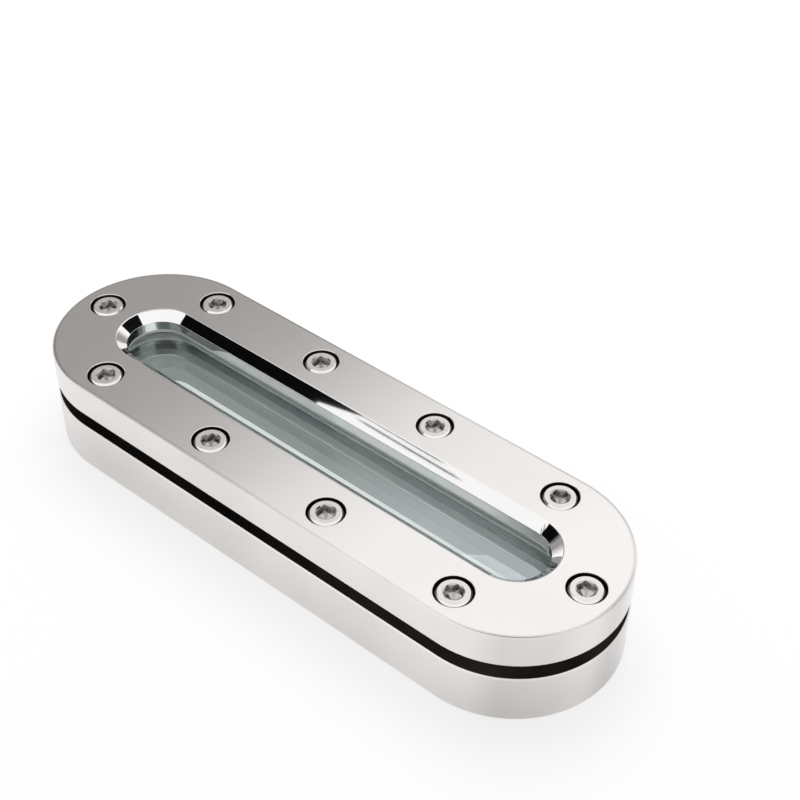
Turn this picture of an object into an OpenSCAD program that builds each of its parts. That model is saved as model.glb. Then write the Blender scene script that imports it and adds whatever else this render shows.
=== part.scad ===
// Obround weld-on tank sight glass: a weld flange, a thick glass plate on its seat gasket,
// a cover flange that clamps the glass with ten socket head cap screws, and a black gasket
// that closes the joint between the two flanges.
// Millimetres. X runs along the window, Z points out of the tank, and the origin is the
// middle of the face that is welded to the tank.

/* [Outline] */
// Distance between the centres of the two round ends, shared by every obround shape
centres = 136; // [90:1:220]
// Width of both flanges, which is also the diameter of their round ends
flange_w = 64; // [62:0.5:80]

/* [Weld flange] */
// Thickness of the weld flange
base_t = 16; // [15:0.5:24]
// Width of the slot on the tank side
slot_w = 20.2; // [14:0.2:23]
// Width of the ledge that carries the glass on its gasket, above a throat
ledge_w = 2.8; // [2:0.1:4]
// Height of the step between the throat and the narrower slot
step_z = 10.8; // [8:0.1:13]
// Edge break round the weld flange, top and bottom
base_edge = 0.4; // [0.1:0.1:1]
// Edge break on the step
step_edge = 0.2; // [0.1:0.1:0.6]

/* [Cover flange] */
// Thickness of the cover flange
cover_t = 10.8; // [10:0.1:15]
// Thickness of the lip that holds the glass down, bevel included
lip_t = 5.8; // [4:0.1:7.5]
// Width of the window between the lower edges of its bevel
window_w = 19.8; // [14:0.2:22]
// Width of the bevel round the window, seen from above
bevel_w = 3; // [1:0.1:3.4]
// Depth of the bevel round the window, which makes it a little flatter than 45 degrees
bevel_t = 2.6; // [1:0.1:3.4]
// Radius of the rounded upper edge of the cover
cover_round = 0.8; // [0.3:0.1:1.5]
// Edge break round the underside of the cover
cover_edge = 0.3; // [0.1:0.1:0.8]

/* [Glass] */
// Width of the glass plate
glass_w = 31; // [29:0.5:32]
// Thickness of the glass plate
glass_t = 10; // [9:0.1:12]
// Bevel on every edge of the glass plate
glass_edge = 0.6; // [0.2:0.1:1.2]
// Gap between the glass and the walls of its pocket, all round
glass_gap = 0.5; // [0.2:0.1:1]

/* [Gaskets] */
// Thickness of the black gasket in the joint between the flanges
joint_t = 5; // [4:0.5:8]
// How far the black gasket stays back from the outline of the flanges
joint_inset = 0.3; // [0.1:0.1:1.5]
// Thickness of the gasket under the glass
seat_t = 1; // [0.5:0.1:2]
// Thickness of the gasket over the glass
cushion_t = 1; // [0.5:0.1:2]
// Gap between the outer edge of a glass gasket and the pocket wall
gasket_gap = 0.3; // [0.1:0.1:0.8]
// How far the inner edge of a glass gasket stays back from the opening it surrounds
gasket_back = 0.2; // [0.1:0.1:1]

/* [Screws] */
// Distance from the centre of a round end to the last screw of a row, along the window
row_margin = 2; // [0:0.5:6]
// Distance from the outline to the screw centres
edge_distance = 9; // [8:0.1:10]
// Thread diameter
screw_d = 6; // [5:0.5:6.5]
// Length of the screw under its head
screw_l = 20; // [16:1:21]
// Diameter of the screw head
head_d = 9.8; // [8.6:0.1:10.4]
// Height of the screw head
head_h = 6; // [5:0.1:6.6]
// Bevel round the top of the head
head_bevel = 0.6; // [0.2:0.1:1]
// Hexagon socket across its flats
socket_af = 5; // [4:0.1:5.4]
// Depth of the hexagon socket
socket_depth = 3; // [2:0.1:3.6]
// Bevel on the tip of the thread
tip_bevel = 0.8; // [0.3:0.1:1.2]
// Gap between the head and the wall of its counterbore
head_gap = 0.6; // [0.2:0.05:0.9]
// How far the head lies below the face of the cover
head_sink = 0.2; // [0.1:0.1:0.8]
// Gap between the thread and the clearance holes in the cover and the black gasket
shank_gap = 0.3; // [0.2:0.05:0.6]
// Gap between the thread and its blind hole in the weld flange
thread_gap = 0.05; // [0.02:0.01:0.1]
// Room left in the blind hole past the tip of the screw
tip_room = 1.5; // [1:0.1:2]
// Edge break at the mouths of the counterbores and the blind holes
hole_edge = 0.15; // [0.1:0.05:0.4]

/* [Hidden] */
$fn = 96;
cut = 1;
row_count = 4;
drill_angle = 59;
flange_r = flange_w / 2;
window_r = window_w / 2;
slot_r = slot_w / 2;
glass_r = glass_w / 2;
pocket_r = glass_r + glass_gap;
throat_r = pocket_r - ledge_w;
gasket_r = pocket_r - gasket_gap;

// Heights, from the weld face up
cover_z = base_t + joint_t;
top_z = cover_z + cover_t;
lip_z = top_z - lip_t;
glass_top_z = lip_z - cushion_t;
glass_z = glass_top_z - glass_t;
ledge_z = glass_z - seat_t;
head_top_z = top_z - head_sink;
head_z = head_top_z - head_h;
tip_z = head_z - screw_l;

// Screw places: one on each round end and a row along each side
screw_r = flange_r - edge_distance;
end_x = centres / 2 + screw_r;
pitch = (centres - 2 * row_margin) / (row_count - 1);
row_x = [for (i = [0 : row_count - 1]) (i - (row_count - 1) / 2) * pitch];
far_row = [for (x = row_x) [x, screw_r]];
near_row = [for (x = row_x) [x, -screw_r]];
screw_places = concat([[-end_x, 0]], far_row, near_row, [[end_x, 0]]);

// How far each screw happened to be turned when it was tightened, in degrees
screw_turns = [8, 41, 17, 52, 29, 35, 4, 22, 47, 13];

// Carries a half section, with its radius along X and its height along Y, round an obround
module around() {
    for (side = [0, 180]) rotate(side) {
        rotate([90, 0, 90]) linear_extrude(centres, center = true) children();
        translate([centres / 2, 0, 0]) rotate(-90) rotate_extrude(angle = 180) children();
    }
}

// Puts a cutter or a screw at every screw place
module at_screws() {
    for (place = screw_places) translate(place) children();
}

// Upright hole with an edge break at its upper mouth
module hole(d, z0, z1) {
    translate([0, 0, z0]) cylinder(d = d, h = z1 - z0 + cut);
    translate([0, 0, z1 - hole_edge]) cylinder(r1 = d / 2, r2 = d / 2 + hole_edge + cut, h = hole_edge + cut);
}

// Half section of a flat ring
module ring_section(r0, r1, z0, z1) {
    translate([r0, z0]) square([r1 - r0, z1 - z0]);
}

// Lower flange, welded to the tank: the stepped slot, the ledge and pocket for the glass, and
// the blind holes
module base_flange() {
    color("gainsboro") difference() {
        around() polygon([
            [slot_r, base_edge], [slot_r + base_edge, 0],
            [flange_r - base_edge, 0], [flange_r, base_edge],
            [flange_r, base_t - base_edge], [flange_r - base_edge, base_t],
            [pocket_r + base_edge, base_t], [pocket_r, base_t - base_edge],
            [pocket_r, ledge_z], [throat_r, ledge_z], [throat_r, step_z],
            [slot_r + step_edge, step_z], [slot_r, step_z - step_edge]
        ]);
        at_screws() blind_hole();
    }
}

// Tapped hole, drawn at its thread diameter, with the cone that the drill leaves
module blind_hole() {
    d = screw_d + 2 * thread_gap;
    point_h = d / 2 / tan(drill_angle);
    end_z = tip_z - tip_room;
    hole(d, end_z, base_t);
    translate([0, 0, end_z - point_h]) cylinder(r1 = 0, r2 = d / 2, h = point_h);
}

// Flat ring under the glass, on the ledge
module seat_gasket() {
    color("lightgray") around() ring_section(throat_r + gasket_back, gasket_r, ledge_z, glass_z);
}

// Thick toughened plate with bevelled edges
module sight_glass() {
    color("mediumaquamarine", 0.5) around() polygon([
        [0, glass_z], [glass_r - glass_edge, glass_z], [glass_r, glass_z + glass_edge],
        [glass_r, glass_top_z - glass_edge], [glass_r - glass_edge, glass_top_z], [0, glass_top_z]
    ]);
}

// Thin ring between the glass and the lip of the cover
module cushion_gasket() {
    color("lightgray") around() ring_section(window_r + gasket_back, gasket_r, glass_top_z, lip_z);
}

// Black ring that fills the joint between the flanges, punched for the screws
module joint_gasket() {
    color("black") difference() {
        around() ring_section(pocket_r, flange_r - joint_inset, base_t, cover_z);
        at_screws() translate([0, 0, base_t - cut])
            cylinder(d = screw_d + 2 * shank_gap, h = joint_t + 2 * cut);
    }
}

// Half section of the cover: rounded outside, bevelled window, and the lip over the glass
module cover_section() {
    difference() {
        ring_section(window_r, flange_r, cover_z, top_z);
        ring_section(window_r - cut, pocket_r, cover_z - cut, lip_z);
        polygon([[window_r, top_z - bevel_t], [window_r + bevel_w, top_z], [window_r + bevel_w, top_z + cut],
                 [window_r - cut, top_z + cut], [window_r - cut, top_z - bevel_t]]);
        polygon([[flange_r - cover_edge - cut, cover_z - cut], [flange_r + cut, cover_z + cover_edge + cut],
                 [flange_r + cut, cover_z - cut]]);
        translate([flange_r - cover_round, top_z - cover_round]) difference() {
            square(cover_round + cut);
            circle(cover_round);
        }
    }
}

// Upper flange with its window and ten counterbored holes
module cover_flange() {
    color("silver") difference() {
        around() cover_section();
        at_screws() {
            translate([0, 0, cover_z - cut]) cylinder(d = screw_d + 2 * shank_gap, h = cover_t + 2 * cut);
            hole(head_d + 2 * head_gap, head_z, top_z);
        }
    }
}

// Socket head cap screw, its head seated in the counterbore
module cap_screw(i) {
    socket_r = socket_af / 2 / cos(30);
    floor_h = socket_af / 2 * tan(30);
    color("whitesmoke") translate(screw_places[i]) rotate(screw_turns[i]) difference() {
        rotate_extrude() polygon([
            [0, tip_z], [screw_d / 2 - tip_bevel, tip_z], [screw_d / 2, tip_z + tip_bevel],
            [screw_d / 2, head_z], [head_d / 2, head_z], [head_d / 2, head_top_z - head_bevel],
            [head_d / 2 - head_bevel, head_top_z], [0, head_top_z]
        ]);
        translate([0, 0, head_top_z - socket_depth])
            cylinder(r = socket_r, h = socket_depth + cut, $fn = 6);
        translate([0, 0, head_top_z - socket_depth - floor_h])
            cylinder(r1 = 0, r2 = socket_af / 2, h = floor_h);
        translate([0, 0, head_top_z - (socket_r - socket_af / 2)])
            cylinder(r1 = socket_af / 2, r2 = socket_r + cut, h = socket_r - socket_af / 2 + cut);
    }
}

base_flange();
seat_gasket();
sight_glass();
cushion_gasket();
joint_gasket();
cover_flange();
cap_screw(0);  // cap_screw_01
cap_screw(1);  // cap_screw_02
cap_screw(2);  // cap_screw_03
cap_screw(3);  // cap_screw_04
cap_screw(4);  // cap_screw_05
cap_screw(5);  // cap_screw_06
cap_screw(6);  // cap_screw_07
cap_screw(7);  // cap_screw_08
cap_screw(8);  // cap_screw_09
cap_screw(9);  // cap_screw_10
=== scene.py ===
# %% [markdown]
# # A tank sight glass in polished steel
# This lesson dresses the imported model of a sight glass: two thick steel flanges with round
# ends, a plate of glass between them, rubber in the joint, and ten cap screws. The packed
# solids come in first and fix every size. Each visible piece is then made again as a smooth
# surface with numpy, because polished steel shows every facet of a coarse mesh in its
# reflections.

# %% Load the frame
import math

import bpy
import numpy as np
from mathutils import Matrix, Vector, geometry


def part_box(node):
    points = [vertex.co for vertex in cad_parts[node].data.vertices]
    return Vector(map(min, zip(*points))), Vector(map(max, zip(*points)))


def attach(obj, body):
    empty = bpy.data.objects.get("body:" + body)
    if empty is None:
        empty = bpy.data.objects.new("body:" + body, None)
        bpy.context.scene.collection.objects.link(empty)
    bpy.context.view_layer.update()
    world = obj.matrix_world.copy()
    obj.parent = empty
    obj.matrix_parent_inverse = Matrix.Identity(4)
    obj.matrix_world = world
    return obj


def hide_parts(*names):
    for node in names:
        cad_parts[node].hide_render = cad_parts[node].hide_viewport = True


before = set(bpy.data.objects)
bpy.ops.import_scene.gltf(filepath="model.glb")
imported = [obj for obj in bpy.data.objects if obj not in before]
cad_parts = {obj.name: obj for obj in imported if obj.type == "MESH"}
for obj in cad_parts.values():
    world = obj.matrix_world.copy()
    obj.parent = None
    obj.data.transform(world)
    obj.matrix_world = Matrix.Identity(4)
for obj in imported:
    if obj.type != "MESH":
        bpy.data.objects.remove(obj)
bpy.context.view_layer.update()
BODY = "root"
MM = 0.001
print("packed nodes:", len(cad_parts))

# %% [markdown]
# ## Sizes
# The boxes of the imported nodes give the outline, the heights and the places of the screws.
# What a box can't tell is named with its real size in millimetres, here where several pieces
# share it and otherwise in the cell of its piece. Everything below is worked out in
# millimetres, and only the finished meshes are scaled to metres.


# %% Sizes in millimetres
def node_box(name):
    """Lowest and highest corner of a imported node, in millimetres."""
    low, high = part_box(name)
    return np.array(low) / MM, np.array(high) / MM


cover_low, cover_high = node_box("cover_flange")
base_low, base_high = node_box("base_flange")
glass_low, glass_high = node_box("sight_glass")
joint_low, joint_high = node_box("joint_gasket")
seat_low, seat_high = node_box("seat_gasket")
cushion_low, cushion_high = node_box("cushion_gasket")
head_low, head_high = node_box("cap_screw_01")

FLANGE_R = cover_high[1]
HALF_RUN = cover_high[0] - FLANGE_R
GLASS_R = glass_high[1]
TOP_Z = cover_high[2]
COVER_Z = cover_low[2]
BASE_TOP_Z = base_high[2]
LIP_Z = cushion_high[2]
GLASS_TOP_Z = glass_high[2]
GLASS_Z = glass_low[2]
LEDGE_Z = seat_low[2]

WINDOW_R = 9.9
SLOT_R = 10.1
LEDGE_W = 2.8
GLASS_GAP = 0.5
POCKET_R = GLASS_R + GLASS_GAP
THROAT_R = POCKET_R - LEDGE_W
EDGE = 0.4
SOFT_EDGE = 0.12
HOLE_EDGE = 0.15

HEAD_R = (head_high[0] - head_low[0]) / 2
HEAD_TOP_Z = head_high[2]
HEAD_H = 6.0
HEAD_Z = HEAD_TOP_Z - HEAD_H
TIP_Z = head_low[2]
SHANK_HOLE_R = 3.3
SCREW_NODES = sorted(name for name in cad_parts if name.startswith("cap_screw"))
SCREW_PLACES = [sum(node_box(name)) / 2 for name in SCREW_NODES]
print("run between round ends", 2 * HALF_RUN, "mm, height", TOP_Z, "mm")

# %% [markdown]
# ## Camera
# The photograph looks down on the fitting from in front and to the right, with a long lens.
# The place, the point that the lens axis meets on the fitting and a small roll were worked
# out from where the ten screws and the outlines lie in the picture.

# %% Camera
CAMERA_AT = Vector((228.2, -238.7, 326.0)) * MM
CAMERA_AIM = Vector((-4.57, 39.07, 16.0)) * MM
CAMERA_ROLL = math.radians(0.66)
CAMERA_LENS = 70.16
SENSOR_WIDTH = 36.0
CLIP_START = 0.01


def add(name, data):
    """Makes an object of some data and puts it into the scene."""
    thing = bpy.data.objects.new(name, data)
    bpy.context.scene.collection.objects.link(thing)
    return thing


camera_data = bpy.data.cameras.new("camera")
camera = add("camera", camera_data)
camera.location = CAMERA_AT
level = (CAMERA_AIM - CAMERA_AT).to_track_quat("-Z", "Y")
camera.rotation_euler = (level.to_matrix() @ Matrix.Rotation(CAMERA_ROLL, 3, "Z")).to_euler()
camera_data.lens = CAMERA_LENS
camera_data.sensor_width = SENSOR_WIDTH
camera_data.clip_start = CLIP_START
bpy.context.scene.camera = camera
print("camera is", round((CAMERA_AIM - CAMERA_AT).length / MM), "mm away")

# %% [markdown]
# ## Sections with softened corners
# Every ring of this fitting has one cross-section that runs round an obround path. A section
# is a chain of corners, each with its own small radius. The chain becomes strokes: straight
# pieces, and arcs where a corner is rounded. A stroke holds its points and the outward
# normal at each point, so that a mirror-bright bevel shades exactly and not from its facets.
# Chains run so that the metal lies on their left.


# %% From corners to strokes
def chain(corners, arc_steps=5):
    """Strokes of a section. corners are (radius, height, rounding) rows, walked with the
    solid on the left. An outward normal is the direction of travel turned right by 90
    degrees. A rounded corner is an arc that touches both of its lines."""
    rows = [tuple(row) + (0.0,) * (3 - len(row)) for row in corners]
    points = np.array([row[:2] for row in rows], float)
    ways = np.diff(points, axis=0)
    ways /= np.linalg.norm(ways, axis=1)[:, None]
    outward = np.stack([ways[:, 1], -ways[:, 0]], axis=1)
    strokes = []
    start = points[0]
    for k in range(len(ways)):
        last = k == len(ways) - 1
        rounding = 0.0 if last else rows[k + 1][2]
        if rounding == 0.0:
            strokes.append((np.array([start, points[k + 1]]), np.array([outward[k]] * 2)))
            start = points[k + 1]
            continue
        turn = math.atan2(np.cross(ways[k], ways[k + 1]), ways[k] @ ways[k + 1])
        trim = rounding * abs(math.tan(turn / 2))
        first = points[k + 1] - ways[k] * trim
        strokes.append((np.array([start, first]), np.array([outward[k]] * 2)))
        side = math.copysign(1.0, turn)
        centre = first - side * rounding * outward[k]
        begin = math.atan2(outward[k][1], outward[k][0])
        angles = begin + np.linspace(0.0, turn, arc_steps + 1)
        around = np.stack([np.cos(angles), np.sin(angles)], axis=1)
        strokes.append((centre + side * rounding * around, around))
        start = points[k + 1] + ways[k + 1] * trim
    return strokes


# %% [markdown]
# ## Carrying a section round a path
# The obround path is two half circles joined by two straight runs. Its stations are angles,
# each with the centre of its own round end. A point of the section at radius r then lies at
# centre + r times the station's direction, which numpy works out for all stations and all
# points at once. A screw hole is the same path with no straight run. Every patch is kept as
# loose quads with a normal for each corner, and all patches of a piece are welded at the end.

# %% Patches
END_STEPS = 48
HOLE_STEPS = 48
SAME_POINT = 1e-6


def stations(half_run=HALF_RUN, steps=END_STEPS):
    """Directions and centres of the stations round an obround path, closed."""
    right = np.radians(np.linspace(-90.0, 90.0, steps + 1))
    angles = np.concatenate([right, right + math.pi, right[:1]])
    ends = np.full(steps + 1, half_run)
    centre_x = np.concatenate([ends, -ends, ends[:1]])
    return np.stack([np.cos(angles), np.sin(angles)], axis=1), centre_x


def cells(grid):
    """The four corners of each cell of a grid, one row for each cell."""
    corners = [grid[:-1, :-1], grid[1:, :-1], grid[1:, 1:], grid[:-1, 1:]]
    return np.stack(corners, axis=2).reshape(-1, 4, *grid.shape[2:])


def quads(points, normals, finish):
    """Cuts a grid of points and normals, both rows by columns by 3, into quads."""
    return cells(points), cells(normals), finish


def carry(strokes, finish, centre=(0.0, 0.0), half_run=HALF_RUN, steps=END_STEPS):
    """Patches of a section carried round a path. A point is the station's centre plus the
    section's radius along the station's direction, at the section's height."""
    ways, centre_x = stations(half_run, steps)
    patches = []
    for line, outward in strokes:
        points = np.empty((len(ways), len(line), 3))
        points[..., :2] = ways[:, None, :] * line[None, :, :1] + np.array(centre)
        points[..., 0] += centre_x[:, None]
        points[..., 2] = line[None, :, 1]
        normals = np.empty_like(points)
        normals[..., :2] = ways[:, None, :] * outward[None, :, :1]
        normals[..., 2] = outward[None, :, 1]
        patches.append(quads(points, normals, finish))
    return patches


def bore(strokes, finish, place=(0.0, 0.0), steps=HOLE_STEPS):
    """Patches of a section turned round an upright axis, such as a round hole's wall."""
    return carry(strokes, finish, place[:2], 0.0, steps // 2)


def loop(radius, centre=(0.0, 0.0), half_run=HALF_RUN, steps=END_STEPS):
    """The ring of points that a section leaves at one radius, without the closing point."""
    ways, centre_x = stations(half_run, steps)
    ring = ways * radius + np.array(centre)
    ring[:, 0] += centre_x
    keep = np.linalg.norm(np.roll(ring, -1, axis=0) - ring, axis=1) > SAME_POINT
    return ring[keep]


def round_loop(radius, place=(0.0, 0.0), steps=HOLE_STEPS):
    """The ring of points that a turned section leaves at one radius."""
    return loop(radius, place[:2], 0.0, steps // 2)


def flat(loops, height, up, finish):
    """A level face at one height, bounded by its first loop and pierced by the others. The
    corners are joined by a constrained Delaunay triangulation. The holes are convex, so a
    triangle with all three corners on one hole lies inside it and is dropped."""
    corners = np.concatenate(loops)
    ends = np.cumsum([len(ring) for ring in loops])
    edges = []
    for ring, end in zip(loops, ends):
        ids = np.arange(end - len(ring), end)
        edges += np.stack([ids, np.roll(ids, -1)], axis=1).tolist()
    result = geometry.delaunay_2d_cdt([Vector(p) for p in corners], edges, [], 1, SAME_POINT)
    sources = np.array([ids[0] for ids in result[3]])
    triangles = sources[np.array(result[2])]
    owner = np.repeat(np.arange(len(loops)), [len(ring) for ring in loops])[triangles]
    triangles = triangles[(owner.min(axis=1) != owner.max(axis=1)) | (owner[:, 0] == 0)]
    if not up:
        triangles = triangles[:, ::-1]
    points = np.empty(triangles.shape + (3,))
    points[..., :2] = corners[triangles]
    points[..., 2] = height
    normals = np.zeros_like(points)
    normals[..., 2] = 1.0 if up else -1.0
    return [(points, normals, finish)]


# %% [markdown]
# ## Welding a piece
# Corners that lie in one place become one vertex, so that the surface is closed. A quad
# that has shrunk to a triangle at the tip of a cone loses its doubled corner. The corner
# normals go in as custom normals, and each face keeps the finish of its patch.

# %% Weld and hand over
# Corners are compared in steps of a ten-thousandth of a millimetre
WELD = 1e4


def weld(name, patches):
    """One closed mesh from loose patches, with the formulas' own normals at the corners."""
    ids, totals, normals, finishes = [], [], [], []
    corners = np.concatenate([p.reshape(-1, 3) for p, _, _ in patches])
    keys, where = np.unique(np.round(corners * WELD).astype(np.int64), axis=0, return_inverse=True)
    where = where.ravel()
    used = 0
    for points, outward, finish in patches:
        count, sides = points.shape[:2]
        faces = where[used:used + count * sides].reshape(count, sides)
        used += count * sides
        keep = faces != np.roll(faces, -1, axis=1)
        total = keep.sum(axis=1)
        keep[total < 3] = False
        ids.append(faces[keep])
        normals.append(outward[keep])
        totals.append(total[total >= 3])
        finishes.append(np.full((total >= 3).sum(), finish))
    verts = keys / WELD * MM
    ids, totals = np.concatenate(ids), np.concatenate(totals)
    mesh = bpy.data.meshes.new(name)
    mesh.vertices.add(len(verts))
    mesh.vertices.foreach_set("co", verts.ravel())
    mesh.loops.add(len(ids))
    mesh.loops.foreach_set("vertex_index", ids)
    mesh.polygons.add(len(totals))
    mesh.polygons.foreach_set("loop_start", np.cumsum(totals) - totals)
    mesh.polygons.foreach_set("material_index", np.concatenate(finishes))
    mesh.polygons.foreach_set("use_smooth", np.ones(len(totals), bool))
    mesh.update(calc_edges=True)
    mesh.normals_split_custom_set(np.concatenate(normals).tolist())
    return mesh


def hand_over(name, patches, materials, node):
    """Makes the piece, gives it its finishes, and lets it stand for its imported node."""
    mesh = weld(name, patches)
    for material in materials:
        mesh.materials.append(material)
    piece = add(name, mesh)
    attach(piece, BODY)
    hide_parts(node)
    print(name, len(mesh.vertices), "vertices,", len(mesh.polygons), "faces")


# %% [markdown]
# ## Steel finishes
# Every finish of steel here is one metal shader. Its colour drifts between two close shades,
# and fine noise, stretched into scratches, makes its bump and its roughness. A satin face
# and a mirror-bright bevel differ only in how rough they are and how the scratches run. Two
# kinds of painted light can be added to the colour. Upright bands of painted reflection and
# shade come from a ramp that gives a tone for each share y / radius, which on a round end is
# the sine of the angle. And painted shade can make a finish darker towards one end of the
# fitting. The patterns read Object coordinates, which are metres here, so their scales are
# waves to the metre.


# %% Node helpers
def empty_material(name):
    """A node material with nothing in it but its output."""
    material = bpy.data.materials.new(name)
    material.use_nodes = True
    material.node_tree.nodes.clear()
    return material, material.node_tree.nodes.new("ShaderNodeOutputMaterial")


def new_material(name):
    """A material whose output is wired to a Principled shader."""
    material, output = empty_material(name)
    shader = material.node_tree.nodes.new("ShaderNodeBsdfPrincipled")
    material.node_tree.links.new(shader.outputs[0], output.inputs["Surface"])
    return material, shader


def ranged(tree, value, start, stop, low, high, smooth=False):
    """Maps a value from one range onto another, and holds it past the ends. A level is a
    number or what another node gives."""
    node = tree.nodes.new("ShaderNodeMapRange")
    if smooth:
        node.interpolation_type = "SMOOTHSTEP"
    levels = {"From Min": start, "From Max": stop, "To Min": low, "To Max": high}
    for socket, level in levels.items():
        if isinstance(level, float):
            node.inputs[socket].default_value = level
        else:
            tree.links.new(level, node.inputs[socket])
    tree.links.new(value, node.inputs["Value"])
    return node.outputs[0]


def object_axis(tree, axis):
    """One Object coordinate of the surface, in metres."""
    place = tree.nodes.new("ShaderNodeTexCoord")
    split = tree.nodes.new("ShaderNodeSeparateXYZ")
    tree.links.new(place.outputs["Object"], split.inputs[0])
    return split.outputs[axis]


# %% Noise, colour and bump
# Noise seldom leaves this range
NOISE_LOW, NOISE_HIGH = 0.3, 0.7


def stretched_noise(tree, stretch, detail=3.0):
    """Noise on Object coordinates, squeezed to so many waves to the metre along each axis."""
    place = tree.nodes.new("ShaderNodeTexCoord")
    mapping = tree.nodes.new("ShaderNodeMapping")
    noise = tree.nodes.new("ShaderNodeTexNoise")
    mapping.inputs["Scale"].default_value = stretch
    noise.inputs["Scale"].default_value = 1.0
    noise.inputs["Detail"].default_value = detail
    tree.links.new(place.outputs["Object"], mapping.inputs["Vector"])
    tree.links.new(mapping.outputs[0], noise.inputs["Vector"])
    return noise.outputs["Fac"]


def spread(tree, noise, low, high):
    """Maps noise onto the range that a socket needs."""
    return ranged(tree, noise, NOISE_LOW, NOISE_HIGH, low, high)


def blend_colours(tree, share, first, second):
    """A colour between two, by a share from 0 to 1."""
    node = tree.nodes.new("ShaderNodeMix")
    node.data_type = "RGBA"
    node.inputs[6].default_value = (*first, 1.0)
    node.inputs[7].default_value = (*second, 1.0)
    tree.links.new(share, node.inputs[0])
    return node.outputs[2]


def cloudy(tree, stretch, detail, shades):
    """A colour that drifts between a light and a dark shade."""
    light, dark = shades
    cloud = stretched_noise(tree, stretch, detail)
    return blend_colours(tree, spread(tree, cloud, 0.0, 1.0), dark, light)


def bump(tree, shader, height, distance):
    """Raises the surface by a height value times a distance in metres."""
    node = tree.nodes.new("ShaderNodeBump")
    node.inputs["Distance"].default_value = distance
    tree.links.new(height, node.inputs["Height"])
    tree.links.new(node.outputs[0], shader.inputs["Normal"])


# %% Painted tones along the fitting and round its ends
def turn_along(tree, start, stop, before, after):
    """A value that turns from one to another between two places along the fitting, given
    in millimetres."""
    return ranged(tree, object_axis(tree, "X"), start * MM, stop * MM, before, after)


def painted_tone_along(tree, colour, end):
    """Multiplies a colour by a tone that turns along the fitting: painted shade or sheen."""
    shade = tree.nodes.new("ShaderNodeVectorMath")
    shade.operation = "SCALE"
    tree.links.new(colour, shade.inputs[0])
    tree.links.new(turn_along(tree, *end), shade.inputs["Scale"])
    return shade.outputs[0]


def painted_bands(tree, colour, radius, bands):
    """Multiplies a colour by a tone that depends on the share y / radius: upright bands of
    painted reflection and shade. bands are rows of a share from -1 to 1 and its tone, and the
    first two rows are the two ends."""
    share = ranged(tree, object_axis(tree, "Y"), -radius * MM, radius * MM, 0.0, 1.0)
    ramp = tree.nodes.new("ShaderNodeValToRGB")
    elements = ramp.color_ramp.elements
    for number, (place, tone) in enumerate(bands):
        position = (place + 1.0) / 2
        element = elements[number] if number < 2 else elements.new(position)
        element.position = position
        element.color = (tone, tone, tone, 1.0)
    shade = tree.nodes.new("ShaderNodeVectorMath")
    shade.operation = "MULTIPLY"
    tree.links.new(share, ramp.inputs[0])
    tree.links.new(colour, shade.inputs[0])
    tree.links.new(ramp.outputs[0], shade.inputs[1])
    return shade.outputs[0]


# %% Steel
CLOUD = (22.0, 22.0, 22.0)
CLOUD_DETAIL = 2.0
ROUGH_SPREAD = 0.08
WALL_GRAIN = (60.0, 60.0, 900.0)
FINE_GRAIN = (900.0, 900.0, 900.0)


def steel(name, roughness, grain, grain_depth, shades, bands=None, end=None, bare=1.0):
    """Stainless steel whose scratches follow the stretch called grain. shades are its light
    and dark colour, bands the radius of its round ends and the bands of painted reflection and
    shade on them, end where painted shade changes its tone along the fitting, and bare the share
    that no dull film covers."""
    material, shader = new_material(name)
    tree = material.node_tree
    shader.inputs["Metallic"].default_value = bare
    colour = cloudy(tree, CLOUD, CLOUD_DETAIL, shades)
    # Upright bands of painted reflection and shade
    if bands:
        colour = painted_bands(tree, colour, *bands)
    # Painted shade that turns along the fitting
    if end:
        colour = painted_tone_along(tree, colour, end)
    tree.links.new(colour, shader.inputs["Base Color"])
    scratch = stretched_noise(tree, grain)
    low, high = roughness * (1.0 - ROUGH_SPREAD), roughness * (1.0 + ROUGH_SPREAD)
    tree.links.new(spread(tree, scratch, low, high), shader.inputs["Roughness"])
    bump(tree, shader, scratch, grain_depth)
    return material


# %% [markdown]
# ## Cover flange
# The cover is one thick plate with a rounded upper edge. Its face is satin-polished along the
# fitting, and its sides round it. The sides' colour is darker than the face's as painted shade,
# with soft upright bands of painted reflection and shade at the ends. The window's bevel is as
# bright as a mirror. The wall under it is polished, with strong bands of painted reflection and
# shade, and painted shade makes it darker at the right-hand end. From below the cover has a
# pocket that holds the top of the glass, and ten counterbored holes, whose walls are given a
# dark colour as painted shade. Its level faces are triangulated between the loops that the
# sections leave, and everything else is carried or bored.

# %% Finishes of the cover
# Painted reflection and shade: tones of the upright bands on the sides' round ends
SIDE_REFLECTION_BANDS = (
    (-1.0, 1.0), (1.0, 0.92), (-0.96, 1.0), (-0.85, 0.85), (-0.6, 0.90), (-0.33, 1.0),
    (-0.22, 0.98), (-0.02, 0.80), (0.1, 0.80), (0.35, 0.92),
)
# Painted reflection and shade: tones of the upright bands on the window wall
WALL_REFLECTION_BANDS = (
    (-1.0, 0.58), (1.0, 0.72), (-0.75, 0.5), (-0.45, 0.10), (-0.02, 0.08), (0.03, 0.38),
    (0.25, 0.45), (0.30, 0.9), (0.52, 1.0), (0.61, 0.78), (0.66, 0.46), (0.84, 0.42),
    (0.885, 0.8), (0.985, 0.75),
)
# Painted shade: the window wall turns darker towards the right-hand end
WALL_SHADE_END = (52.0, 72.0, 1.0, 0.42)

satin_face = steel(
    "satin_face", 0.20, (60.0, 2600.0, 2600.0), 4e-8,
    ((0.94, 0.915, 0.90), (0.89, 0.865, 0.85)))
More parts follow.
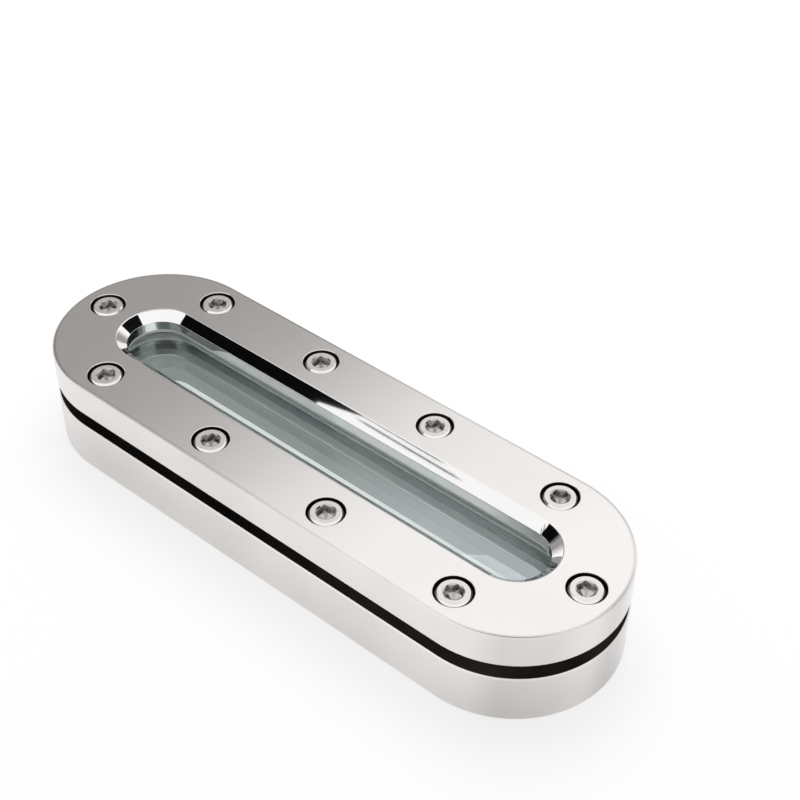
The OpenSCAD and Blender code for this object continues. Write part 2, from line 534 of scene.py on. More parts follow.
# The sides' shades are darker than the face's as painted shade
satin_side_shaded = steel(
    "satin_side_shaded", 0.17, (60.0, 60.0, 3000.0), 1.5e-7,
    ((0.86, 0.835, 0.82), (0.74, 0.715, 0.70)), (FLANGE_R, SIDE_REFLECTION_BANDS))
bright_steel = steel(
    "bright_steel", 0.02, FINE_GRAIN, 1e-8,
    ((0.96, 0.95, 0.945), (0.92, 0.91, 0.905)))
wall_steel = steel(
    "wall_steel", 0.04, WALL_GRAIN, 2e-8,
    ((0.98, 0.98, 0.96), (0.88, 0.88, 0.86)), (WINDOW_R, WALL_REFLECTION_BANDS), WALL_SHADE_END)
# Painted shade: the counterbores' walls are coloured dark
bore_shade_steel = steel(
    "bore_shade_steel", 0.35, (60.0, 60.0, 1500.0), 1e-7,
    ((0.16, 0.15, 0.145), (0.10, 0.095, 0.09)))
print("bands on the sides", len(SIDE_REFLECTION_BANDS), "and on the window wall", len(WALL_REFLECTION_BANDS))

# %% Cover flange
FACE, SIDE, BRIGHT, WALL, BORED = range(5)
LAND = 0.3
BEVEL_W = 3.0
BEVEL_T = 2.6
COVER_ROUND = 0.8
COVER_ROUND_STEPS = 8
LOWER_ROUND = 0.1
WINDOW_ROUND = 0.6
HEAD_GAP = 0.6
BORE_R = HEAD_R + HEAD_GAP
BORE_ROUND = 0.05
BORE_ROUND_STEPS = 3


def counterbore():
    """Section of a counterbored screw hole, from the face of the cover down."""
    return chain([
        (BORE_R + HOLE_EDGE + LAND, TOP_Z), (BORE_R + HOLE_EDGE, TOP_Z, BORE_ROUND),
        (BORE_R, TOP_Z - HOLE_EDGE, BORE_ROUND), (BORE_R, HEAD_Z),
        (SHANK_HOLE_R, HEAD_Z), (SHANK_HOLE_R, COVER_Z),
    ], BORE_ROUND_STEPS)


def cover_patches():
    """The outer section and the window's section carried round, ten bored holes, and the
    level faces between them."""
    rim = FLANGE_R - COVER_ROUND - LAND
    window_edge = WINDOW_R + BEVEL_W
    outer = chain([
        (FLANGE_R - EDGE, COVER_Z), (FLANGE_R, COVER_Z + EDGE, LOWER_ROUND),
        (FLANGE_R, TOP_Z, COVER_ROUND), (rim, TOP_Z),
    ], COVER_ROUND_STEPS)
    window = chain([
        (window_edge + LAND, TOP_Z), (window_edge, TOP_Z, WINDOW_ROUND),
        (WINDOW_R, TOP_Z - BEVEL_T, SOFT_EDGE), (WINDOW_R, LIP_Z, SOFT_EDGE),
        (POCKET_R, LIP_Z), (POCKET_R, COVER_Z, EDGE / 2), (POCKET_R + LAND, COVER_Z),
    ])
    patches = carry(outer, SIDE) + carry(window[:1], FACE)
    patches += carry(window[1:4] + window[5:], BRIGHT) + carry(window[4:5], WALL)
    mouths, exits = [], []
    for place in SCREW_PLACES:
        patches += bore(counterbore()[:3], FACE, place) + bore(counterbore()[3:], BORED, place)
        mouths.append(round_loop(BORE_R + HOLE_EDGE + LAND, place))
        exits.append(round_loop(SHANK_HOLE_R, place))
    patches += flat([loop(rim), loop(window_edge + LAND)] + mouths, TOP_Z, True, FACE)
    patches += flat([loop(FLANGE_R - EDGE), loop(POCKET_R + LAND)] + exits, COVER_Z, False, SIDE)
    return patches


cover_finishes = (satin_face, satin_side_shaded, bright_steel, wall_steel, bore_shade_steel)
hand_over("cover_plate", cover_patches(), cover_finishes, "cover_flange")

# %% [markdown]
# ## Weld flange
# The lower flange has the same outline and the same satin sides, with a pocket for the glass,
# a ledge under it, a mirror-smooth throat and a narrower slot into the tank. The throat's dark
# colour, its upright bands and its darker right-hand end are painted shade and reflection. The
# step between the throat and the slot is covered in part by a dull film, and painted shade makes
# it darker towards the left-hand end. The slot is milled, and its darker colour is painted shade.
# The ten holes are blind and end in the cone of a drill.

# %% Finishes of the weld flange
# Painted reflection and shade: tones of the upright bands on the throat
THROAT_REFLECTION_BANDS = (
    (-1.0, 0.5), (1.0, 0.68), (-0.985, 0.5), (-0.96, 0.12), (-0.4, 0.12), (-0.3, 0.5),
    (-0.17, 0.35), (0.13, 0.35), (0.2, 0.85), (0.5, 1.0), (0.57, 0.2), (0.86, 0.16),
    (0.90, 0.9), (0.98, 0.8),
)
# Painted shade: the throat turns darker towards the right-hand end
THROAT_SHADE_END = (56.0, 70.0, 1.0, 0.6)
# Painted shade: the step turns darker towards the left-hand end
STEP_SHADE_END = (-72.0, -40.0, 0.75, 1.0)

# The throat's dark, greenish colour is painted shade
throat_steel = steel(
    "throat_steel", 0.05, WALL_GRAIN, 2e-8,
    ((0.44, 0.48, 0.48), (0.38, 0.42, 0.42)), (THROAT_R, THROAT_REFLECTION_BANDS), THROAT_SHADE_END)
step_steel = steel(
    "step_steel", 0.35, WALL_GRAIN, 4e-8,
    ((0.94, 0.97, 0.96), (0.89, 0.92, 0.91)), end=STEP_SHADE_END, bare=0.5)
# Painted shade: the slot's wall gets a darker colour than the other steel
milled_shade_steel = steel(
    "milled_shade_steel", 0.12, (40.0, 40.0, 900.0), 3e-8,
    ((0.58, 0.58, 0.57), (0.50, 0.50, 0.49)))
print("bands on the throat", len(THROAT_REFLECTION_BANDS))

# %% Weld flange
STEP_Z = 10.8
STEP_EDGE = 0.2
BLIND_HOLE_R = 3.05
TIP_ROOM = 1.5
DRILL_ANGLE = math.radians(59.0)
OUTSIDE, THROAT, STEP, SLOT = range(4)


def blind_hole():
    """Section of a blind hole, from the upper face down to the tip of the drill's cone."""
    end_z = TIP_Z - TIP_ROOM
    return chain([
        (BLIND_HOLE_R + HOLE_EDGE, BASE_TOP_Z), (BLIND_HOLE_R, BASE_TOP_Z - HOLE_EDGE),
        (BLIND_HOLE_R, end_z), (0.0, end_z - BLIND_HOLE_R / math.tan(DRILL_ANGLE)),
    ])


def base_patches():
    """Pocket, throat, slot and outside carried round, ten blind holes, and the upper face."""
    rim = FLANGE_R - EDGE - LAND
    pocket = chain([
        (POCKET_R + EDGE + LAND, BASE_TOP_Z), (POCKET_R + EDGE, BASE_TOP_Z, SOFT_EDGE),
        (POCKET_R, BASE_TOP_Z - EDGE, SOFT_EDGE), (POCKET_R, LEDGE_Z), (THROAT_R + LAND, LEDGE_Z),
    ])
    throat = chain([
        (THROAT_R + LAND, LEDGE_Z), (THROAT_R, LEDGE_Z, SOFT_EDGE), (THROAT_R, STEP_Z, SOFT_EDGE),
        (SLOT_R + STEP_EDGE, STEP_Z), (SLOT_R, STEP_Z - STEP_EDGE),
    ])
    slot = chain([(SLOT_R, STEP_Z - STEP_EDGE), (SLOT_R, EDGE), (SLOT_R + EDGE, 0.0)])
    outside = chain([
        (SLOT_R + EDGE, 0.0), (FLANGE_R - EDGE, 0.0, SOFT_EDGE), (FLANGE_R, EDGE, SOFT_EDGE),
        (FLANGE_R, BASE_TOP_Z - EDGE, SOFT_EDGE), (FLANGE_R - EDGE, BASE_TOP_Z, SOFT_EDGE),
        (rim, BASE_TOP_Z),
    ])
    patches = carry(pocket + outside, OUTSIDE) + carry(slot, SLOT)
    patches += carry(throat[:4], THROAT) + carry(throat[4:], STEP)
    mouths = []
    for place in SCREW_PLACES:
        patches += bore(blind_hole(), OUTSIDE, place)
        mouths.append(round_loop(BLIND_HOLE_R + HOLE_EDGE, place))
    patches += flat([loop(rim), loop(POCKET_R + EDGE + LAND)] + mouths, BASE_TOP_Z, True, OUTSIDE)
    return patches


base_finishes = (satin_side_shaded, throat_steel, step_steel, milled_shade_steel)
hand_over("weld_plate", base_patches(), base_finishes, "base_flange")

# %% [markdown]
# ## Glass
# The window is a thick toughened plate with round ends. Its faces are clear and its edge is
# ground, with a small bevel. The green of thick glass comes from the shader's own colour,
# and the ground edge is the same glass with a rough surface. A film of air is left between
# the glass and its gaskets, because faces that share one plane can't both be traced.


# %% Glass
FILM = 0.03
GLASS_EDGE = 0.6
GLASS_EDGE_STEPS = 3
GLASS_GREEN = (0.88, 0.94, 0.93)
GLASS_WAVES = (45.0, 45.0, 45.0)
GLASS_WAVE_DEPTH = 2e-6


def glass_material(name, roughness):
    """Greenish glass with a faint waviness, so that its reflections aren't perfectly straight."""
    material, shader = new_material(name)
    tree = material.node_tree
    shader.inputs["Base Color"].default_value = (*GLASS_GREEN, 1.0)
    shader.inputs["Transmission Weight"].default_value = 1.0
    shader.inputs["IOR"].default_value = 1.5
    shader.inputs["Roughness"].default_value = roughness
    bump(tree, shader, stretched_noise(tree, GLASS_WAVES, 1.0), GLASS_WAVE_DEPTH)
    return material


def glass_patches():
    """The bevelled edge carried round, and the two clear faces that it encloses."""
    rim = GLASS_R - GLASS_EDGE - LAND
    low, high = GLASS_Z + FILM, GLASS_TOP_Z - FILM
    side = chain([
        (rim, low), (GLASS_R - GLASS_EDGE, low, SOFT_EDGE),
        (GLASS_R, low + GLASS_EDGE, SOFT_EDGE), (GLASS_R, high - GLASS_EDGE, SOFT_EDGE),
        (GLASS_R - GLASS_EDGE, high, SOFT_EDGE), (rim, high),
    ], GLASS_EDGE_STEPS)
    patches = carry(side[:1] + side[-1:], 0) + carry(side[1:-1], 1)
    return patches + flat([loop(rim)], high, True, 0) + flat([loop(rim)], low, False, 0)


glass_finishes = (glass_material("clear_glass", 0.0), glass_material("ground_glass", 0.35))
hand_over("glass_plate", glass_patches(), glass_finishes, "sight_glass")

# %% [markdown]
# ## Gaskets
# Three flat rings: thick black rubber in the joint, and a thin ring of pale sheet on each
# side of the glass. All are matt, with a fine grain and slightly lighter patches. A painted
# sheen makes the rubber darker on the left and paler towards the right-hand end.


# %% Gaskets
RUBBER_CLOUD = (60.0, 60.0, 60.0)
RUBBER_GRAIN = (2500.0, 2500.0, 2500.0)
RUBBER_GRAIN_DEPTH = 8e-6
RUBBER_ROUGH_SPREAD = 0.08
# Painted sheen: the rubber turns from darker on the left to paler towards the right-hand end
RUBBER_SHEEN_END = (0.0, 55.0, 0.3, 1.8)
GASKET_BACK = 0.2
JOINT_ROUND = 0.3


def rubber(name, shades, roughness, shine=0.5, end=None):
    """Matt sheet with a fine grain. end is where its tone changes along the fitting, as painted
    sheen.
    """
    material, shader = new_material(name)
    tree = material.node_tree
    shader.inputs["Specular IOR Level"].default_value = shine
    colour = cloudy(tree, RUBBER_CLOUD, 3.0, shades)
    if end:
        colour = painted_tone_along(tree, colour, end)
    tree.links.new(colour, shader.inputs["Base Color"])
    grain = stretched_noise(tree, RUBBER_GRAIN, 2.0)
    low, high = roughness - RUBBER_ROUGH_SPREAD, roughness + RUBBER_ROUGH_SPREAD
    tree.links.new(spread(tree, grain, low, high), shader.inputs["Roughness"])
    bump(tree, shader, grain, RUBBER_GRAIN_DEPTH)
    return material


def flat_ring(opening, outer, low, high):
    """Patches of a flat ring with slightly soft corners, set back from its opening. Its
    section is walked once round."""
    inner, middle = opening + GASKET_BACK, (low + high) / 2
    return carry(chain([
        (inner, middle), (inner, low, SOFT_EDGE), (outer, low, SOFT_EDGE),
        (outer, high, SOFT_EDGE), (inner, high, SOFT_EDGE), (inner, middle),
    ]), 0)


def joint_patches():
    """A ring with a softly rounded outside and ten punched holes."""
    outer = joint_high[1]
    low, high = joint_low[2], joint_high[2]
    rim = outer - 2 * JOINT_ROUND
    side = chain([(rim, low), (outer, low, JOINT_ROUND), (outer, high, JOINT_ROUND), (rim, high)])
    wall = chain([(POCKET_R, high), (POCKET_R, low)])
    patches = carry(side + wall, 0)
    holes = []
    for place in SCREW_PLACES:
        patches += bore(chain([(SHANK_HOLE_R, high), (SHANK_HOLE_R, low)]), 0, place)
        holes.append(round_loop(SHANK_HOLE_R, place))
    loops = [loop(rim), loop(POCKET_R)] + holes
    return patches + flat(loops, high, True, 0) + flat(loops, low, False, 0)


# %% The three rings
black_rubber = rubber(
    "black_rubber", ((0.014, 0.011, 0.009), (0.002, 0.0015, 0.001)), 0.8, 0.015, RUBBER_SHEEN_END)
grey_sheet = rubber("grey_sheet", ((0.97, 0.99, 0.98), (0.92, 0.95, 0.93)), 0.6)
pale_sheet = rubber("pale_sheet", ((0.86, 0.88, 0.86), (0.78, 0.81, 0.78)), 0.5)
seat_ring = flat_ring(THROAT_R, seat_high[1], seat_low[2], seat_high[2])
cushion_ring = flat_ring(WINDOW_R, cushion_high[1], cushion_low[2], cushion_high[2])

hand_over("joint_ring", joint_patches(), (black_rubber,), "joint_gasket")
hand_over("seat_ring", seat_ring, (grey_sheet,), "seat_gasket")
hand_over("cushion_ring", cushion_ring, (pale_sheet,), "cushion_gasket")

# %% [markdown]
# ## Cap screws
# A socket head cap screw has a knurled head with a bevelled rim, a hexagon socket with a
# turned mouth, and a rolled thread. The head and the thread are each a surface of two
# parameters, the angle round the axis and the way along it. The hexagon is a radius that
# depends on the angle: half the width across flats, over the cosine of the angle from the
# middle of the nearest flat. Ten are made by one loop, each turned as it stopped when it was
# tightened.

# %% Finishes of the screws
SCREW_GRAIN = (700.0, 700.0, 700.0)
SCREW_SHADES = ((0.94, 0.92, 0.91), (0.88, 0.86, 0.85))

screw_steel = steel("screw_steel", 0.36, SCREW_GRAIN, 3e-7, SCREW_SHADES)
rim_steel = steel("rim_steel", 0.14, SCREW_GRAIN, 2e-7, SCREW_SHADES)
# Painted shade: the socket's inside is coloured darker than the head
socket_shade_steel = steel(
    "socket_shade_steel", 0.15, FINE_GRAIN, 2e-7,
    ((0.62, 0.60, 0.58), (0.50, 0.48, 0.46)))
screw_finishes = (screw_steel, socket_shade_steel, rim_steel)
print("finishes of a screw:", len(screw_finishes))

# %% A surface of angle and height
HEAD_STEPS = 240
THREAD_STEPS = 48


def ring_angles(steps):
    """Angles once round, with the first one again at the end."""
    return np.linspace(0.0, 2.0 * math.pi, steps + 1)


def shaped(radius, height, steps):
    """Points at a radius and a height, both given by angle and row, with the normals of the
    surface from the cross product of its two directions."""
    angle = ring_angles(steps)[:, None]
    x, y = radius * np.cos(angle), radius * np.sin(angle)
    points = np.stack([x, y, height + 0.0 * radius], axis=2)
    across = np.roll(points[:-1], -1, axis=0) - np.roll(points[:-1], 1, axis=0)
    across = np.concatenate([across, across[:1]])
    along = np.gradient(points, axis=1)
    normals = np.cross(across, along)
    normals /= np.linalg.norm(normals, axis=2)[..., None]
    return points, normals


# %% Hexagon socket
SOCKET_AF = 5.0
SOCKET_DEPTH = 3.0
SOCKET_MOUTH_R = SOCKET_AF / 2 / math.cos(math.pi / 6) + 0.05
SOCKET_MOUTH_SLOPE = math.tan(math.radians(35.0))
SOCKET_FLOOR_SLOPE = math.tan(math.radians(30.0))
DRILL_R = SOCKET_AF / 2 * 0.96


def hexagon(angle):
    """Radius of the socket's wall at an angle, with corners at every 60 degrees."""
    return SOCKET_AF / 2 / np.cos((angle % (math.pi / 3)) - math.pi / 6)


def socket_patches(finish):
    """Mouth, six flats and the coned floor of the socket."""
    angle = ring_angles(HEAD_STEPS)
    way = np.stack([np.cos(angle), np.sin(angle)], axis=1)
    wall = hexagon(angle)
    mouth = np.full_like(wall, SOCKET_MOUTH_R)
    drill = np.full_like(wall, DRILL_R)
    top = np.full_like(wall, HEAD_TOP_Z)
    lip_z = HEAD_TOP_Z - (mouth - wall) * SOCKET_MOUTH_SLOPE
    floor_z = np.full_like(wall, HEAD_TOP_Z - SOCKET_DEPTH)
    tip_z = floor_z - SOCKET_AF / 2 * SOCKET_FLOOR_SLOPE

    def band(r0, z0, r1, z1, normals):
        points = np.empty((len(angle), 2, 3))
        points[:, 0, :2] = way * r0[:, None]
        points[:, 1, :2] = way * r1[:, None]
        points[:, 0, 2] = z0
        points[:, 1, 2] = z1
        return quads(points, np.repeat(normals[:, None], 2, axis=1), finish)

    def leaning(slope):
        normals = np.concatenate([-slope * way, np.ones((len(angle), 1))], axis=1)
        return normals / np.linalg.norm(normals, axis=1)[:, None]

    walls, _, _ = band(wall, lip_z, wall, floor_z, leaning(0.0))
    flat_angle = (np.floor(np.arange(HEAD_STEPS) / (HEAD_STEPS / 6)) + 0.5) * math.pi / 3
    inward = -np.stack([np.cos(flat_angle), np.sin(flat_angle), 0.0 * flat_angle], axis=1)
    return [
        band(mouth, top, wall, lip_z, leaning(SOCKET_MOUTH_SLOPE)),
        (walls, np.repeat(inward[:, None], 4, axis=1), finish),
        band(wall, floor_z, drill, floor_z, leaning(0.0)),
        band(drill, floor_z, 0.0 * drill, tip_z, leaning(SOCKET_FLOOR_SLOPE)),
    ]


# %% Knurled head
HEAD_BEVEL = 0.6
BEVEL_ROUND = 0.25
FOOT_BEVEL = 0.3
CONTACT_R = HEAD_R - 0.7
FLUTES = 48
FLUTE_DEPTH = 0.10
FLUTE_END = 0.2
KNURL_LOW = HEAD_Z + 0.5
KNURL_HIGH = HEAD_TOP_Z - HEAD_BEVEL - 0.3


def head_patches(finish, rim_finish):
    """Knurled side, bevelled rim and level top of the head."""
    rows = np.array([
        HEAD_Z + FOOT_BEVEL, KNURL_LOW, KNURL_LOW + FLUTE_END, KNURL_HIGH - FLUTE_END, KNURL_HIGH,
    ])
    cut = np.array([0.0, 0.0, FLUTE_DEPTH, FLUTE_DEPTH, 0.0])
    angle = ring_angles(HEAD_STEPS)[:, None]
    radius = HEAD_R - cut[None, :] * np.abs(np.sin(angle * FLUTES / 2))
    points, normals = shaped(radius, rows[None, :], HEAD_STEPS)
    under = chain([
        (CONTACT_R, HEAD_Z), (HEAD_R - FOOT_BEVEL, HEAD_Z), (HEAD_R, HEAD_Z + FOOT_BEVEL),
    ])
    rim = chain([
        (HEAD_R, KNURL_HIGH), (HEAD_R, HEAD_TOP_Z - HEAD_BEVEL, BEVEL_ROUND),
        (HEAD_R - HEAD_BEVEL, HEAD_TOP_Z, BEVEL_ROUND), (SOCKET_MOUTH_R, HEAD_TOP_Z),
    ])
    turned = bore(under + rim[:-1], rim_finish, steps=HEAD_STEPS)
    turned += bore(rim[-1:], finish, steps=HEAD_STEPS)
    return turned + [quads(points, normals, rim_finish)]


# %% Rolled thread
THREAD_R = 3.0
THREAD_PITCH = 1.0
THREAD_DEPTH = 0.6
ROWS_TO_A_PITCH = 8
GROOVE_FLOOR = 0.12
GROOVE_FLANK = 0.75
NECK = 1.0
TIP_BEVEL = 0.8


def thread_patches(finish):
    """Shank with a rolled thread. The radius falls and rises with height over pitch minus
    the turn, which makes one helix, and fades out under the head and at the tip."""
    end_z = HEAD_Z - NECK
    rows = np.arange(TIP_Z, end_z + SAME_POINT, THREAD_PITCH / ROWS_TO_A_PITCH)
    angle = ring_angles(THREAD_STEPS)[:, None]
    phase = (rows[None, :] / THREAD_PITCH - angle / (2 * math.pi)) % 1.0
    rise = np.abs(phase - 0.5) * 2.0 - GROOVE_FLOOR
    groove = np.clip(rise, 0.0, GROOVE_FLANK) / GROOVE_FLANK
    fade = np.clip((end_z - rows) / THREAD_PITCH, 0.0, 1.0)[None, :]
    radius = THREAD_R - THREAD_DEPTH * (1.0 - groove) * fade
    limit = THREAD_R - TIP_BEVEL + (rows - TIP_Z)[None, :]
    radius = np.minimum(radius, limit)
    points, normals = shaped(radius, rows[None, :], THREAD_STEPS)
    neck = chain([(THREAD_R, rows[-1]), (THREAD_R, HEAD_Z)])
    ring = points[:-1, 0, :2]
    return (
        [quads(points, normals, finish)]
        + bore(neck, finish, steps=THREAD_STEPS)
        + flat([ring], TIP_Z, False, finish)
    )


# %% Ten screws
SCREW_TURNS = (8, 41, 17, 52, 29, 35, 4, 22, 47, 13)


def screw_patches(place, turn_degrees):
    """All patches of one screw, turned about its axis and set at its place."""
    under = [round_loop(CONTACT_R, steps=HEAD_STEPS), round_loop(THREAD_R, steps=THREAD_STEPS)]
    patches = head_patches(0, 2) + socket_patches(1) + thread_patches(0)
    patches += flat(under, HEAD_Z, False, 0)
    turn = np.array(Matrix.Rotation(math.radians(turn_degrees), 3, "Z")).T
    shift = np.array([place[0], place[1], 0.0])
    return [(points @ turn + shift, normals @ turn, finish) for points, normals, finish in patches]


for number, (node, place) in enumerate(zip(SCREW_NODES, SCREW_PLACES), 1):
    patches = screw_patches(place, SCREW_TURNS[number - 1])
    hand_over(f"screw_{number:02d}", patches, screw_finishes, node)

# %% [markdown]
# ## Stage
# Polished steel shows what stands round it, and the glass shows what lies under it. So a level,
# such as the strength of a glow, can differ for light that falls on matt things and for what
# is seen in a reflection, through the glass or straight. The kinds of ray are asked for one
# after the other, and each replaces the value so far where it applies.


# %% Levels for each kind of ray
def by_ray(tree, matt, mirrored, through, straight):
    """One value for light that falls on matt things, and one each for what is seen in a
    reflection, through the glass and straight."""
    path = tree.nodes.new("ShaderNodeLightPath")
    value = matt
    for ray, level in (("Glossy", mirrored), ("Transmission", through), ("Camera", straight)):
        value = ranged(tree, path.outputs[f"Is {ray} Ray"], 0.0, 1.0, value, level)
    return value


def mix_shaders(tree, output, share, first, second):
    """Wires the output to a mix of two shaders."""
    mix = tree.nodes.new("ShaderNodeMixShader")
    tree.links.new(share, mix.inputs[0])
    tree.links.new(first.outputs[0], mix.inputs[1])
    tree.links.new(second.outputs[0], mix.inputs[2])
    tree.links.new(mix.outputs[0], output.inputs["Surface"])


def sheet(name, half_x, half_y, height, material):
    """A level rectangle over the origin, with its sizes in metres."""
    mesh = bpy.data.meshes.new(name)
    corners = np.array([(-1, -1, 1), (1, -1, 1), (1, 1, 1), (-1, 1, 1)])
    mesh.from_pydata((corners * (half_x, half_y, height)).tolist(), [], [(0, 1, 2, 3)])
    mesh.materials.append(material)
    return add(name, mesh)


# %% [markdown]
# ## Floor
# The floor is white paper. Seen through the glass it glows less towards the right-hand end
# of the slot, where it lies in shade. A second sheet, a little over the floor, is a painted
# reflection: a glow that only the slot's wall mirrors, darker to the left as painted shade.

# %% Floor
FLOOR_HALF = 6.0
FLOOR_WHITE = 0.9
FLOOR_MATT = 0.0
FLOOR_MIRRORED = 0.5
FLOOR_STRAIGHT = 0.72
SLOT_SHADE = (38.0, 62.0, 0.62, 0.28)


def floor_material():
    """White paper. Its own light keeps it white, and its matt share takes the shadow."""
    material, output = empty_material("white_paper")
    tree = material.node_tree
    paper = tree.nodes.new("ShaderNodeBsdfPrincipled")
    paper.inputs["Base Color"].default_value = (FLOOR_WHITE, FLOOR_WHITE, FLOOR_WHITE, 1.0)
    paper.inputs["Roughness"].default_value = 0.9
    paper.inputs["Specular IOR Level"].default_value = 0.0
    glow = tree.nodes.new("ShaderNodeEmission")
    glow.inputs["Strength"].default_value = 1.0
    shade = turn_along(tree, *SLOT_SHADE)
    share = by_ray(tree, FLOOR_MATT, FLOOR_MIRRORED, shade, FLOOR_STRAIGHT)
    mix_shaders(tree, output, share, paper, glow)
    return material


floor = sheet("floor", FLOOR_HALF, FLOOR_HALF, 0.0, floor_material())
print("the floor is", 2 * FLOOR_HALF, "m wide")


# %% Painted reflection of paper in the slot
PAPER_Z = 0.0002
# Painted reflection and shade: the sheet's glow is darker to the left
PAPER_TURN = (-14.0, 28.0, 0.0, 1.0)
PAPER_SHADE_LEFT = (0.40, 0.44, 0.42)
PAPER_RIGHT = (0.72, 0.74, 0.79)


def slot_reflection_material():
    """A glow that is darker to the left: painted reflection and painted shade."""
    material, output = empty_material("slot_painted_reflection")
    tree = material.node_tree
    glow = tree.nodes.new("ShaderNodeEmission")
    colour = blend_colours(tree, turn_along(tree, *PAPER_TURN), PAPER_SHADE_LEFT, PAPER_RIGHT)
    tree.links.new(colour, glow.inputs["Color"])
    tree.links.new(glow.outputs[0], output.inputs["Surface"])
    return material


def only_mirrored(piece, through=False):
    """Leaves a piece to reflections alone, or to what is seen through the glass as well."""
    piece.visible_camera = False
    piece.visible_diffuse = False
    piece.visible_shadow = False
    piece.visible_transmission = through


paper = sheet(
    "slot_painted_reflection", (HALF_RUN + SLOT_R) * MM, SLOT_R * MM, PAPER_Z, slot_reflection_material())
only_mirrored(paper)
print("the mirrored paper is", round(2 * (HALF_RUN + SLOT_R), 1), "mm long")

# %% [markdown]
# ## Cards
# The fitting stands in a white tent with two long dark cards, one that climbs on the left in
# front and one that sinks on the right behind. The tent has a fold and two seams, and is grey
# at the back. All are patches of a big sphere round the fitting. The lens never sees them, and
# they cast no shadow. The grey ones show in reflections alone, and the dark ones through the
# glass as well.

# %% Cards
CARD_DISTANCE = 1.5
CARD_TINT = (1.0, 0.98, 0.965)
DARK_SHADE = 0.1
CARD_UV = "card"


def card_material(name, shade, soft):
    """A card of one shade whose rim fades out, by its own UV map. soft is how much of its
    length and of its height the rim takes at each side."""
    material, output = empty_material(name)
    tree = material.node_tree
    colour = tree.nodes.new("ShaderNodeEmission")
    colour.inputs["Color"].default_value = (*(shade * tint for tint in CARD_TINT), 1.0)
    clear = tree.nodes.new("ShaderNodeBsdfTransparent")
    uv = tree.nodes.new("ShaderNodeUVMap")
    uv.uv_map = CARD_UV
    split = tree.nodes.new("ShaderNodeSeparateXYZ")
    tree.links.new(uv.outputs[0], split.inputs[0])
    covers = tree.nodes.new("ShaderNodeMath")
    covers.operation = "MULTIPLY"
    for number, width in enumerate(soft):
        tent = tree.nodes.new("ShaderNodeMath")
        tent.operation = "PINGPONG"
        tent.inputs[1].default_value = 0.5
        tree.links.new(split.outputs[number], tent.inputs[0])
        rim = ranged(tree, tent.outputs[0], 0.0, width, 0.0, 1.0, smooth=True)
        tree.links.new(rim, covers.inputs[number])
    mix_shaders(tree, output, covers.outputs[0], clear, colour)
    return material


def card(name, bearings, heights, shade, soft, climb=0.0, lean=0.0, steps=24):
    """Patch of a sphere between two bearings and two heights in degrees, counted from +X
    towards +Y and up from the floor. From end to end both edges climb, and the upper one
    also by the lean."""
    line = np.linspace(0, 1, steps + 1)
    u, v = np.meshgrid(line, line, indexing="ij")
    bearing = np.radians(bearings[0] + (bearings[1] - bearings[0]) * u)
    height = np.radians(heights[0] + climb * u + (heights[1] + lean * u - heights[0]) * v)
    x, y = np.cos(bearing) * np.cos(height), np.sin(bearing) * np.cos(height)
    points = np.stack([x, y, np.sin(height)], axis=2) * CARD_DISTANCE
    faces = cells(np.arange((steps + 1) ** 2).reshape(steps + 1, steps + 1))
    mesh = bpy.data.meshes.new(name)
    mesh.from_pydata(points.reshape(-1, 3).tolist(), [], faces.tolist())
    layer = mesh.uv_layers.new(name=CARD_UV)
    uv = np.stack([u, v], axis=2).reshape(-1, 2)
    layer.data.foreach_set("uv", uv[faces.ravel()].ravel())
    mesh.materials.append(card_material(name, shade, soft))
    piece = add(name, mesh)
    only_mirrored(piece, through=shade < DARK_SHADE)
    print(name, len(faces), "faces")


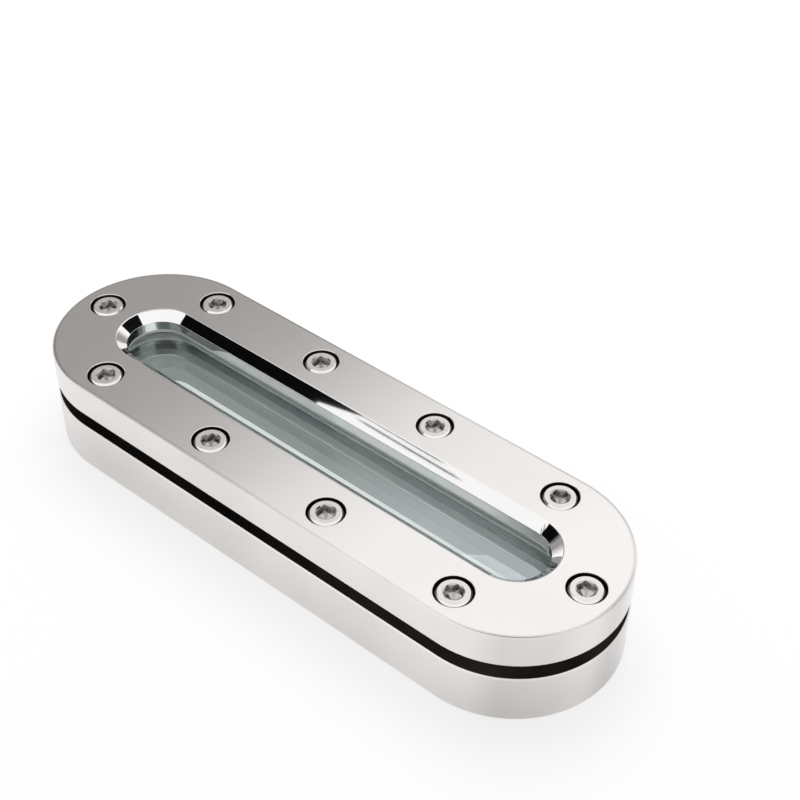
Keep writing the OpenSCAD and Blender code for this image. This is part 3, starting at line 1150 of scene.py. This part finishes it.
# %% Seven cards
card("card_front_left", (180, 226.3), (11, 27), 0.003, (0.001, 0.06), climb=21.6)
card("card_back_right", (24, 75), (50, 63), 0.006, (0.03, 0.12), climb=-24.5)
card("tent_fold", (226.1, 228.6), (40.1, 40.98), 0.003, (0.01, 0.01), 1.7, -0.78, 1)
card("tent_seam_low", (228.0, 235.8), (41.21, 41.31), 0.005, (0.16, 0.1), 2.91, steps=1)
card("tent_seam_high", (227.8, 234.2), (41.435, 41.535), 0.005, (0.16, 0.1), 2.47, steps=1)
card("card_back_left", (115, 200), (5, 38), 0.33, (0.12, 0.235), lean=40)
card("tent_corner", (78, 125), (2, 30), 0.35, (0.4, 0.3))

# %% [markdown]
# ## Light
# A white tent lights from all sides. The world is white to the lens, brighter through the
# glass, and darker where it lights matt things. In reflections it is white too, but turns grey
# towards the roof, which the level faces mirror. One large lamp overhead gives the soft shadow
# at the foot of the fitting.

# %% World
ROOF_START = math.radians(66.0)
ROOF_SHADE = 0.35
WORLD_MATT = 0.62
WORLD_THROUGH = 1.25
WORLD_STRAIGHT = 1.0

world = bpy.data.worlds.new("tent")
bpy.context.scene.world = world
world.use_nodes = True
world_tree = world.node_tree
background = next(node for node in world_tree.nodes if node.type == "BACKGROUND")
background.inputs["Color"].default_value = (1.0, 1.0, 1.0, 1.0)
direction = world_tree.nodes.new("ShaderNodeTexCoord")
parts = world_tree.nodes.new("ShaderNodeSeparateXYZ")
world_tree.links.new(direction.outputs["Generated"], parts.inputs[0])
roof = ranged(
    world_tree, parts.outputs["Z"], math.sin(ROOF_START), 1.0, 1.0, ROOF_SHADE, smooth=True)
strength = by_ray(world_tree, WORLD_MATT, roof, WORLD_THROUGH, WORLD_STRAIGHT)
world_tree.links.new(strength, background.inputs["Strength"])
print("the roof turns grey", round(math.degrees(ROOF_START)), "degrees up")

# %% Lamp
LAMP_AT = Vector((-0.25, 0.35, 1.1))
LAMP_SIDE = 0.9
LAMP_WATTS = 9.0

lamp_data = bpy.data.lights.new("overhead", "AREA")
lamp_data.shape = "RECTANGLE"
lamp_data.size = LAMP_SIDE
lamp_data.size_y = LAMP_SIDE
lamp_data.energy = LAMP_WATTS
lamp = add("overhead", lamp_data)
lamp.location = LAMP_AT
lamp.rotation_euler = (-LAMP_AT).to_track_quat("-Z", "Y").to_euler()
lamp.visible_glossy = False
bpy.context.scene.view_settings.view_transform = "Standard"
print("the lamp is", LAMP_WATTS, "watts")
